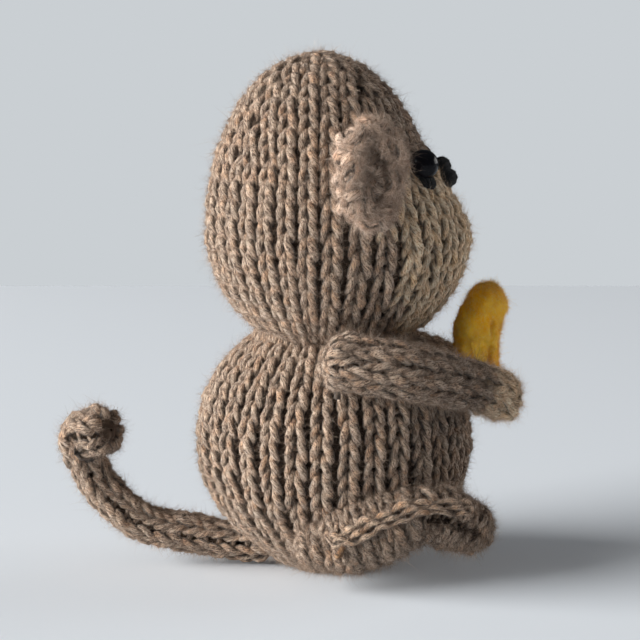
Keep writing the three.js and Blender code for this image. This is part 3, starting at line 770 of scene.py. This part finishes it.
def make_head():
    rows = even_rows(head_surface, 2.2, NECK_LENGTH, 32, 4.1)
    rows = [(v, pitch, 32 if v > 35 else count) for v, pitch, count in rows]
    lines = knit(head_surface, rows, -1, random, limits=(0.3, NECK_LENGTH + 1.5), tuck=0.8)
    brown, pale = [], []
    for line in lines:
        middles = line["point"][STEPS_PER_STITCH // 2::STEPS_PER_STITCH]
        chosen = in_muzzle(middles)[line["stitch"]]
        brown.append({**line, "keep": ~chosen})
        if chosen.any():
            pale.append({**line, "keep": chosen})
    cover = strands("head_knit", brown, BROWN)
    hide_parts("head_cover")
    muzzle = strands("muzzle_knit", pale, PALE)
    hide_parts("muzzle_panel")
    for piece in (cover, muzzle):
        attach(piece, "head")
    # Painted shade: a dark sheet under the stitches.
    core = skin("head_lining", head_surface, (0.3, NECK_LENGTH + 1), -SHADE_SHEET_DEPTH, -1, SHADE_SHEET)
    clear = [(place, FACE_CLEARANCE) for place in (*EYE_PLACES.values(), NOSE_PLACE)]
    loose = fuzz("head", brown, 140000, 84000, BROWN_FUZZ, random, clear=clear)
    loose += fuzz("muzzle", pale, 36000, 22000, PALE_FUZZ, random, clear=clear)
    fill = skin("head_fill", head_surface, (3.0, NECK_LENGTH - 1), -FILL_DEPTH, -1, FILL, 0.35)
    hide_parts("head_stuffing")
    for piece in (core, fill, *loose):
        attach(piece, "head")


# ---- arms and hands

WRIST_Y = -28.4


def inward(points):
    """Level directions from points to the middle of the body."""
    return unit(points * np.array([-1.0, -1.0, 0.0]))


def arm_limb(side):
    drop = 2.0 if side > 0 else 0.0

    def height(along):
        return mix(42.8, 34.2, along ** 1.5) - drop

    stations = []
    for i in range(5):
        along = 0.8 * i / 5
        angle = math.radians(mix(4, 66, i / 5))
        reach = float(body_radius(height(along))) + 4.4
        out = max(reach * math.cos(angle), 8.3)
        stations.append((side * out, -reach * math.sin(angle), height(along),
                         mix(10.6, 9.2, along) / 2, mix(8.2, 7.6, along) / 2))
    stations.append((side * 10.6, -29.0, height(0.86), 4.6, 3.9))
    stations.append((side * 8.6, -32.1, height(1.0), 4.6, 3.8))
    lean = math.radians(22)
    return Limb(stations, lambda path: UP * math.cos(lean) + inward(path) * math.sin(lean))


def limb_rows(limb, most, pitch=STITCH_ROW, narrow=3.6, start=1.2, spare=1.6):
    rows = even_rows(limb.surface, start, limb.total - spare, most, narrow, step=1, pitch=pitch)
    return [(v, step, max(count, 3)) for v, step, count in rows]


def make_arm(side, word):
    limb = arm_limb(side)
    rows = limb_rows(limb, 8, pitch=2.9, narrow=3.0)
    lines = knit(limb.surface, rows, 1, random, yarn=0.76, depth=0.5, sink=0.9, lean=0.23, reach=0.92,
                 wild=2.0, limits=(0.3, limb.total - 0.7))
    wrist = float(limb.before + np.interp(-WRIST_Y, -limb.path[:, 1], limb.at))
    arm = [line for line, row in zip(lines, rows) if row[0] < wrist]
    hand = [line for line, row in zip(lines, rows) if row[0] >= wrist]
    arm_piece = strands("arm_knit_" + word, arm, BROWN)
    hand_piece = strands("hand_knit_" + word, hand, PALE)
    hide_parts("arm_" + word)
    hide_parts("hand_" + word)
    # Painted shade: a dark sheet under the stitches.
    core = skin("arm_lining_" + word, limb.surface, (1.0, limb.total - 2.0), -1.8, 1, SHADE_SHEET,
                around=32, down=40)
    palm = skin("hand_felt_" + word, limb.surface, (wrist - 1.5, limb.total - 0.05), -0.85, 1, PALE_FELT,
                0.3, 1.1, around=48, down=32)
    middle = len(arm) // 2
    loose = fuzz("upper_arm_" + word, arm[:middle], 11000, 8000, BROWN_FUZZ, random)
    loose += fuzz("lower_arm_" + word, arm[middle:], 24000, 16000, BROWN_FUZZ, random)
    loose += fuzz("hand_" + word, hand, 18000, 11000, PALE_FUZZ, random, length=0.9)
    for piece in (arm_piece, hand_piece, core, palm, *loose):
        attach(piece, word + "_arm")


# ---- legs

# How far out, forward and up each station of a leg is, and its radius
LEG_STATIONS = [(22.3, -2.6, 8.4, 4.6), (22.5, 2.1, 9.6, 6.5), (22.5, 8.0, 11.8, 6.7),
                (22.0, 13.0, 13.6, 6.0), (20.8, 17.3, 14.4, 5.3), (18.8, 21.2, 12.8, 5.8),
                (17.4, 24.9, 11.0, 4.9)]
LEG_ROWS, LEG_PITCH, LEG_RADIUS = 14, 2.7, 6.0
LEG_OUT, LEG_HINGE = 21, 3.6
SEAM_TURN, CREASE_TURN, CREASE_DEPTH = 0.20, 0.26, 3.6


def leg_limb(side, inset=0.0):
    """A leg about its hip. The far one, on the toy's left, is turned and set back."""
    stations = []
    yaw, back = (math.radians(9), 4.0) if side > 0 else (0.0, 0.0)
    hinge = np.array([side * LEG_OUT, LEG_HINGE + back])
    for out, forward, up, radius in LEG_STATIONS:
        x, y = np.array([side * out, back - forward]) - hinge
        turned = hinge + [x * math.cos(yaw) - y * math.sin(yaw), x * math.sin(yaw) + y * math.cos(yaw)]
        stations.append((*turned, up, radius - inset, radius - inset))
    return Limb(stations)


def seam_line(limb, side, offset, phase, thick):
    """One of the three cords that close the leg, a little wavy where each stitch pulls it in."""
    t = np.linspace(0.10, 0.92, 150)
    wave = TAU * t * limb.length / 3.1 + phase
    sway = 0.012 * np.sin(TAU * t * 1.1 + 0.6) - 0.05 * smooth(t, 0.74, 0.94)
    drift = offset + 0.20 * np.sin(wave) + 0.24 * np.sin(0.43 * wave + 1)
    around = 0.25 - side * SEAM_TURN - side * sway + drift / (TAU * LEG_RADIUS)
    lift = 0.75 + 0.22 * np.cos(wave) - 1.4 * smooth(t, 0.86, 0.93) - 0.7 * smooth(-t, -0.14, -0.09)
    point, normal = lifted(limb.surface, around, limb.before + t * limb.length, lift, 1)
    return strand(point, normal, thick + 0.12 * np.cos(wave + 0.8) + 0.10 * np.sin(0.37 * wave))


def knot_line(centre, size, radius, rng, loops=3):
    """A small tangled knot of yarn about a point."""
    t = np.linspace(0, TAU, 60, endpoint=False)
    x = np.sin(t) + 2 * np.sin((loops - 1) * t)
    y = np.cos(t) - 2 * np.cos((loops - 1) * t)
    spin = unit(rng.normal(size=(3, 3)))
    point = centre + size / 3 * np.stack([x, y, -np.sin(loops * t)], -1) @ spin
    return strand(point, unit(point - centre), radius, closed=True)


def drawn_in(limb, side, depth):
    """A leg's form, pulled in under the seam towards the foot."""
    def surface(u, v):
        point = limb.surface(u, v)
        below = (u - (0.25 - side * SEAM_TURN) + side * 0.060 + 0.5) % 1.0 - 0.5
        along = v / limb.total
        span = smooth(along, 0.52, 0.68) * smooth(-along, -0.92, -0.82)
        crease = depth * np.exp(-(below / 0.033) ** 2) * span
        return point + unit(limb.surface(u + 0.5, v) - point) * crease[:, None]
    return surface


def make_leg(side, word):
    limb = leg_limb(side)
    form = drawn_in(limb, side, CREASE_DEPTH)
    around = LEG_ROWS * LEG_PITCH

    def across(u, v):
        return form(v / around, (0.03 + 0.94 * u) * limb.total)

    rows = [(j * LEG_PITCH, LEG_PITCH, 14) for j in range(LEG_ROWS)]
    lines = knit(across, rows, -1, random, yarn=0.67, depth=0.42, sink=0.85, lean=0.22, wild=1.8,
                 closed=False)
    crease = np.linspace(0.62, 0.84, 24) * limb.total
    crease = lifted(form, np.full(24, 0.25 - side * CREASE_TURN), crease, 0, 1)[0]
    for line in lines:
        near = np.linalg.norm(line["point"][:, None] - crease, axis=-1).min(1)
        near = 1 - smooth(near, 0.9, 2.2)
        line["radius"] = line["radius"] * (1 - 0.5 * near)
        line["point"] = line["point"] - line["normal"] * (0.9 * near)[:, None]
    tips = []
    for place, step, count in ((limb.total - 1.7, 1.4, 5), (1.7, -1.4, 5)):
        tips += knit(limb.surface, [(place, step, count)], 1, random, yarn=0.85, depth=0.3, sink=0.7,
                     limits=(0.5, limb.total - 0.5))
    cover = strands("leg_knit_" + word, lines + tips, BROWN)
    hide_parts("leg_" + word)
    cords = [seam_line(limb, side, side * place, phase, thick)
             for place, phase, thick in ((-0.98, 0.0, 0.48), (0.0, 2.4, 0.55), (0.98, 4.6, 0.62))]
    start = (np.array([0.25 - side * 0.262]), np.array([limb.before + 0.13 * limb.length]))
    start = lifted(limb.surface, *start, 0.5, 1)[0][0]
    seam = strands("leg_seam_cords_" + word, cords, SEAM)
    knot = strands("leg_knot_" + word, [knot_line(start, 0.95, 0.58, random)], KNOT)
    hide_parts("leg_seam_" + word)
    inner = leg_limb(side, 1.4)
    # Painted shade: a dark sheet under the stitches.
    core = skin("leg_lining_" + word, drawn_in(inner, side, 3.2), (0.2, inner.total - 0.2), 0, 1, SHADE_SHEET,
                around=96, down=80)
    clear = [(place, 2.1) for place in crease]
    loose = fuzz("leg_" + word, lines, 54000, 34000, BROWN_FUZZ, random, length=1.1, clear=clear)
    loose += fuzz("seam_" + word, cords, 2000, 900, BROWN_FUZZ, random, length=0.8)
    inner = leg_limb(side, 3.3)
    fill = skin("leg_fill_" + word, drawn_in(inner, side, 2.9), (0.2, inner.total - 0.2), 0, 1, FILL, 0.3)
    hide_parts("leg_stuffing_" + word)
    for piece in (cover, seam, knot, core, fill, *loose):
        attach(piece, word + "_leg")


# ---- tail

TAIL_ROOT, TAIL_BEND = np.array([0, 20.6, 4.9]), np.array([0, 35.8, 7.8])
TAIL_BETWEEN = (TAIL_ROOT + TAIL_BEND) / 2 - [0, 0, 0.3]
# Where each station of the tail is, and its radius
TAIL_STATIONS = [(0, 14.6, 4.3, 3.7), (*TAIL_ROOT, 3.7), (*TAIL_BETWEEN, 3.7), (*TAIL_BEND, 3.7),
                 (0, 41.4, 11, 3.7), (0, 45.9, 16, 3.7), (0, 48.3, 21.6, 3.9),
                 (-0.9, 48.9, 25.9, 4.6), (-4.4, 44.9, 27.0, 5.0)]


def tail_limb(inset=0.0):
    stations = [(x, y, z, size - inset, size - inset) for x, y, z, size in TAIL_STATIONS]
    return Limb(stations, LEFT, rim=0.0 if inset else 2.5)


def make_tail():
    """A tube of six columns. Its root stays in the body and its free end is open, its middle darkened by
    the dark sheet of painted shade inside.
    """
    limb = tail_limb()

    def grooved(u, v):
        """The stitches stand further apart along the side that faces -X."""
        return limb.surface(u + 0.75 + 0.25 * np.sin(TAU * u) / (TAU), v)

    rows = limb_rows(limb, 6, pitch=2.7, narrow=3.0, start=2.0, spare=3.0)
    rows = [(v, pitch, 6 if v > 5 else count) for v, pitch, count in rows]
    lines = knit(grooved, rows, 1, random, yarn=0.78, depth=0.45, sink=0.9, lean=0.22, reach=0.92,
                 wild=1.8, limits=(0.6, limb.total - 2.4))
    root = [line for line in lines if line["point"][:, 1].mean() < TAIL_ROOT[1]]
    free = [line for line in lines if line["point"][:, 1].mean() >= TAIL_ROOT[1]]
    stump = strands("tail_root_knit", root, BROWN)
    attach(stump, "torso")
    cover = strands("tail_knit", free, BROWN)
    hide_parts("tail_lower", "tail_upper")
    inner = tail_limb(2.0)
    # Painted shade: a dark sheet under the stitches, seen in the open end.
    core = skin("tail_lining", inner.surface, (8.4, inner.total - 0.1), 0, 1, SHADE_SHEET, around=28, down=80)
    for piece in (cover, core, *fuzz("tail", free, 28000, 22000, BROWN_FUZZ, random)):
        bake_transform(piece)


# ---- ears

EAR_WIDE, EAR_DEEP, EAR_TALL = 6.2, 6.3, 9.7
EAR_ROLL, EAR_TURN = 1.7, 64
EAR_OUTSIDE, EAR_RIM, EAR_MIDDLE = 11.0, 5.0, 5.0
# Where each hollow in an ear's middle is, its size and its depth
EAR_HOLLOWS = ((0.8, 5.0, 1.3, 3.2), (-2.2, 0.8, 1.1, 2.8), (2.2, -4.2, 1.1, 2.3), (-1.4, -6.0, 0.9, 1.6),
               (1.8, 0.6, 0.8, 1.1))


def ear_frame(side):
    """The middle of an ear's root, the way across it and the way its cup opens."""
    latitude = latitude_at(78.2)
    turn = math.acos((4.7 + HEAD_BACK) / (FACE_DEPTH * math.cos(latitude)))
    centre = head_point(np.array([latitude]), np.array([side * turn]))[0] + [side * 3.4, -1.2, -0.6]
    angle = math.radians(side * EAR_TURN)
    wide = np.array([math.cos(angle), math.sin(angle), 0])
    mouth = np.array([math.sin(angle), -math.cos(angle), 0])
    return centre, wide, mouth


def ear_surface(side):
    """A cup whose edge rolls over and whose middle folds in. v runs from its root to that middle."""
    centre, wide, mouth = ear_frame(side)
    ring = np.linspace(0, TAU, 721)
    path = np.stack([EAR_WIDE * np.cos(ring), EAR_TALL * np.sin(ring)], -1)
    arc = lengths_along(path)

    def surface(u, v):
        turn = np.interp(u % 1.0, arc / arc[-1], ring)
        outer = np.clip(v / EAR_OUTSIDE, 0, 1)
        rim = np.clip((v - EAR_OUTSIDE) / EAR_RIM, 0, 1)
        inner = np.clip((v - (EAR_OUTSIDE + EAR_RIM)) / EAR_MIDDLE, 0, 1)
        angle = mix(math.radians(-78), math.radians(8), outer)
        spread = np.cos(angle)
        axial = EAR_DEEP * np.sin(angle)
        inset = EAR_ROLL * (1 - np.cos(math.pi * rim))
        axial = axial + EAR_ROLL * 1.1 * np.sin(math.pi * rim) - 1.4 * rim
        spread_in = 1 - 0.92 * inner
        x = (EAR_WIDE - inset) * spread * spread_in * np.cos(turn)
        z = (EAR_TALL - inset) * spread * spread_in * np.sin(turn)
        fold = 1.7
        for place_x, place_z, size, deep in EAR_HOLLOWS:
            fold = fold - deep * np.exp(-((x - place_x) ** 2 + (z - place_z) ** 2) / size ** 2)
        axial = axial + smooth(rim, 0.5, 1.0) * fold
        point = centre + x[:, None] * wide * side + z[:, None] * UP + axial[:, None] * mouth
        shake = (0.7 + 0.7 * inner) * ripple(point, 5 + side, 0.75)
        pinch = 0.7 * ripple(point, 15 + side, 0.45)
        return point + mouth * shake[:, None] + wide * (side * pinch)[:, None]

    return surface


def make_ear(side, word):
    surface = ear_surface(side)
    rows = [(2.0, 3.2, 6), (5.2, 3.1, 8), (8.3, 2.9, 10), (11.2, 2.7, 11), (13.9, 2.4, 11),
            (16.2, 2.1, 9), (18.2, 1.7, 6), (19.7, 1.4, 4)]
    lines = knit(surface, rows, side, random, yarn=0.84, depth=0.5, sink=0.6, lean=0.22, reach=0.9,
                 wild=3.4)
    t = np.linspace(0, 1, 260, endpoint=False)
    for v, lift, thick, waves in ((11.6, 0.25, 0.62, 9), (13.1, 0.45, 0.70, 7), (14.7, 0.40, 0.62, 8)):
        wave = TAU * waves * t + v
        point, normal = lifted(surface, t, v + 0.35 * np.sin(wave), lift + 0.3 * np.cos(wave), side)
        lines.append(strand(point, normal, thick + 0.1 * np.sin(wave + 1), closed=True))
    # The ear's yarn, fibres and felt carry painted light: they are lighter than the head's brown yarn.
    cover = strands("ear_knit_" + word, lines, EAR_YARN_PAINTED_LIGHT)
    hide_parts("ear_" + word)
    core = skin("ear_felt_" + word, surface, (0.5, 20.9), -0.75, side, EAR_FELT_PAINTED_LIGHT, 0.2, 1.6, around=72, down=72)
    loose = fuzz("ear_" + word, lines, 34000, 24000, EAR_FUZZ_PAINTED_LIGHT, random, length=1.1)
    for piece in (cover, core, *loose):
        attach(piece, "head")


# ---- eyes and nose

def make_eye(side, word):
    """A full bead with its thread hole upright, held by a few turns of black yarn below it."""
    centre = EYE_PLACES[word]
    radius, hole, hole_angle, hole_depth = 2.85, 0.42, 0.17, 0.9
    rows, hole_rows, columns = 60, 6, 96
    angle = np.pad(np.linspace(hole_angle, math.pi - hole_angle, rows), hole_rows, mode="edge")
    depth = np.concatenate([np.linspace(hole_depth, 0, hole_rows, endpoint=False), np.zeros(rows),
                            np.linspace(0, hole_depth, hole_rows)])
    ring = radius * np.sin(angle) - 0.02 * depth
    height = radius * np.cos(angle) - np.sign(np.cos(angle)) * depth
    edge = np.exp(-((np.sin(angle) * radius - hole) / 0.1) ** 2)
    height = height - 0.05 * edge * np.sign(height)
    around = np.linspace(0, TAU, columns, endpoint=False)
    verts = centre + np.stack([np.outer(ring, np.cos(around)), np.outer(ring, np.sin(around)),
                               np.repeat(height[:, None], columns, 1)], -1).reshape(-1, 3)
    bead = mesh_object("bead_" + word, verts, grid_faces(len(angle), columns), BEAD)
    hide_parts("eye_" + word)
    turns = []
    t = np.linspace(-1, 1, 24)
    for k in range(5):
        x = abs(centre[0]) + (k - 2) * 0.62 + 0.12 * t
        height = 76.0 + (1.8 - 0.25 * abs(k - 2)) * t
        latitude = latitude_at(height)
        turn = side * np.arcsin(x / (HEAD_HALF_WIDTH * np.cos(latitude)))
        down = np.interp(-latitude, -HEAD_LATITUDES, HEAD_LENGTHS)
        lift = 0.95 * np.cos(1.45 * t) * (1 - 0.12 * (k - 2) ** 2) - 0.15
        point, normal = lifted(head_surface, turn / (TAU), down, lift, -1)
        turns.append(strand(point, normal, 0.5))
    thread = strands("eye_yarn_" + word, turns, BLACK)
    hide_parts("eye_thread_" + word)
    for piece in (bead, thread):
        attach(piece, "head")


def face_y(x, z):
    """How far forward the face stands at a place seen from the front."""
    turns = np.linspace(0, math.pi / 2, 200)
    points = head_point(np.full(200, latitude_at(z)), turns)
    return float(np.interp(abs(x), points[:, 0], points[:, 1]))


def make_nose():
    """Two padded bars of black yarn, each of a few strands laid side by side."""
    lines = []
    for height, push in ((77.8, 0.75), (75.6, 0.55)):
        for k in range(5):
            turn = math.radians(-80 + 40 * k)
            t = np.linspace(-1, 1, 40)
            x = 4.1 * t
            front = np.array([face_y(a, height) for a in x])
            round_off = np.sqrt(np.maximum(1 - t ** 8, 0))
            y = front - (math.cos(turn) * round_off + push - 1.2 * (1 - round_off))
            z = height + 1.12 * math.sin(turn) * round_off + 0.08 * np.sin(3 * t + k)
            normal = np.array([0.0, -math.cos(turn), math.sin(turn)])
            lines.append(strand(np.stack([x, y, z], -1), normal, 0.66 + 0.05 * np.sin(5 * t + 2 * k)))
    bars = strands("nose_yarn", lines, BLACK)
    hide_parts("nose_stitches")
    loose = fuzz("nose", lines, 1500, 400, BLACK_FUZZ, random, length=0.4)
    for piece in (bars, *loose):
        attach(piece, "head")


# ---- banana

# How far forward and up each station of the banana is, and its radius, then the felt's folds, each
# from one place to another and with a depth
BANANA = [(29.9, 33.2, 3.1), (28.3, 38.2, 3.9), (27.5, 43.0, 4.2), (28.0, 47.6, 4.4), (29.4, 51.0, 4.1)]
FOLDS = [((-1.7, 16.5), (0.6, 7.5), 0.36), ((2.6, 15.0), (1.2, 7.0), 0.34),
         ((2.2, 21.5), (3.2, 17.0), 0.32)]


def make_banana():
    limb = Limb([(0, -forward, up, 4.2, radius) for forward, up, radius in BANANA], LEFT)
    around, down = 200, 240
    u, v = grid(down, around, 0.02, limb.total - 0.02)
    base, normal = lifted(limb.surface, u, v, 0, 1)
    beside = ((u - 0.75 + 0.5) % 1.0 - 0.5) * 26.0
    push = 0.30 * ripple(base, 3, 0.7) + 0.14 * ripple(base, 4, 2.2) + 0.05 * ripple(base, 8, 6.0)
    for (x0, v0), (x1, v1), depth in FOLDS:
        span = np.array([x1 - x0, v1 - v0])
        for place in (beside, 13 - np.abs(beside)):
            along = np.clip(((place - x0) * span[0] + (v - v0) * span[1]) / (span @ span), 0, 1)
            apart = np.hypot(place - x0 - along * span[0], v - v0 - along * span[1])
            fade = np.sin(math.pi * np.clip(along, 0.03, 0.97)) ** 0.5
            push = push - depth * 2.0 * fade * np.exp(-(apart / 0.42) ** 2)
            push = push + depth * 0.6 * fade * np.exp(-((apart - 1.1) / 0.6) ** 2)
    verts = base + normal * (push - 0.15)[:, None]
    felt = mesh_object("banana_felt", verts, grid_faces(down, around), YELLOW)
    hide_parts("banana")
    pieces = [felt]
    for kind, number, rise, reach, bends, material in (("fuzz", 44000, 0.25, 0.8, 1, YELLOW_FUZZ[0]),
                                                       ("halo", 16000, 0.9, 1.1, 3, YELLOW_FUZZ[1])):
        pick = random.randint(0, len(verts), number)
        flow = unit(np.cross(normal[pick], random.normal(size=(number, 3))))
        start = unit(flow + normal[pick] * np.abs(random.normal(size=(number, 1))) * rise)
        pieces.append(hairs("banana_" + kind, verts[pick] - normal[pick] * 0.04, start, reach, bends,
                            0.7, 0.034, material, random))
    for piece in pieces:
        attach(piece, "held_banana")


# ---- small pieces

def ring_line(centre, radius, thick, waves, sway):
    """A wavy ring of yarn that lies level."""
    t = np.linspace(0, TAU, 240, endpoint=False)
    reach = radius + sway * np.cos(waves * t)
    point = centre + np.stack([reach * np.cos(t), reach * np.sin(t), 0.8 * sway * np.sin(waves * t)], -1)
    return strand(point, np.stack([np.cos(t), np.sin(t), 0 * t], -1), thick, closed=True)


def box_of(node):
    """A CAD node's low corner and middle in millimetres."""
    low, high = (np.array(corner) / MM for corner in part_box(node))
    return low, (low + high) / 2


def make_gathers():
    low, middle = box_of("neck_seam")
    radius = middle[0] - low[0]
    neck = strands("neck_yarn", [ring_line(middle, radius - 0.75, 0.55, 16, 0.18)], BROWN)
    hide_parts("neck_seam")
    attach(neck, "neck")
    middle = box_of("crown_gather")[1]
    rings = [ring_line(middle - 0.1 * UP, 1.5, 0.6, 5, 0.2),
             ring_line(middle - 0.35 * UP, 0.5, 0.55, 3, 0.1)]
    crown = strands("crown_yarn", rings, BROWN)
    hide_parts("crown_gather")
    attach(crown, "head")
    for word in ("left", "right"):
        for kind in ("shoulder", "hip"):
            node = kind + "_thread_" + word
            height, reach = (39.5, 3.0) if kind == "shoulder" else (9.0, 2.6)
            t = np.linspace(-1, 1, 30)
            point = box_of(node)[1] + 0.12 * np.sin(9 * t)[:, None] * LEFT
            point[:, 2] = height + reach * t
            thread = strands(kind + "_yarn_" + word, [strand(point, LEFT, 0.6)], BROWN)
            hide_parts(node)
            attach(thread, "torso")


make_body()
make_head()
for side, word in ((1, "left"), (-1, "right")):
    make_arm(side, word)
    make_leg(side, word)
    make_ear(side, word)
    make_eye(side, word)
make_nose()
make_tail()
make_banana()
make_gathers()

for name in ("tail_wire_lower", "tail_wire_upper"):
    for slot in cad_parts[name].material_slots:
        slot.material = STEEL
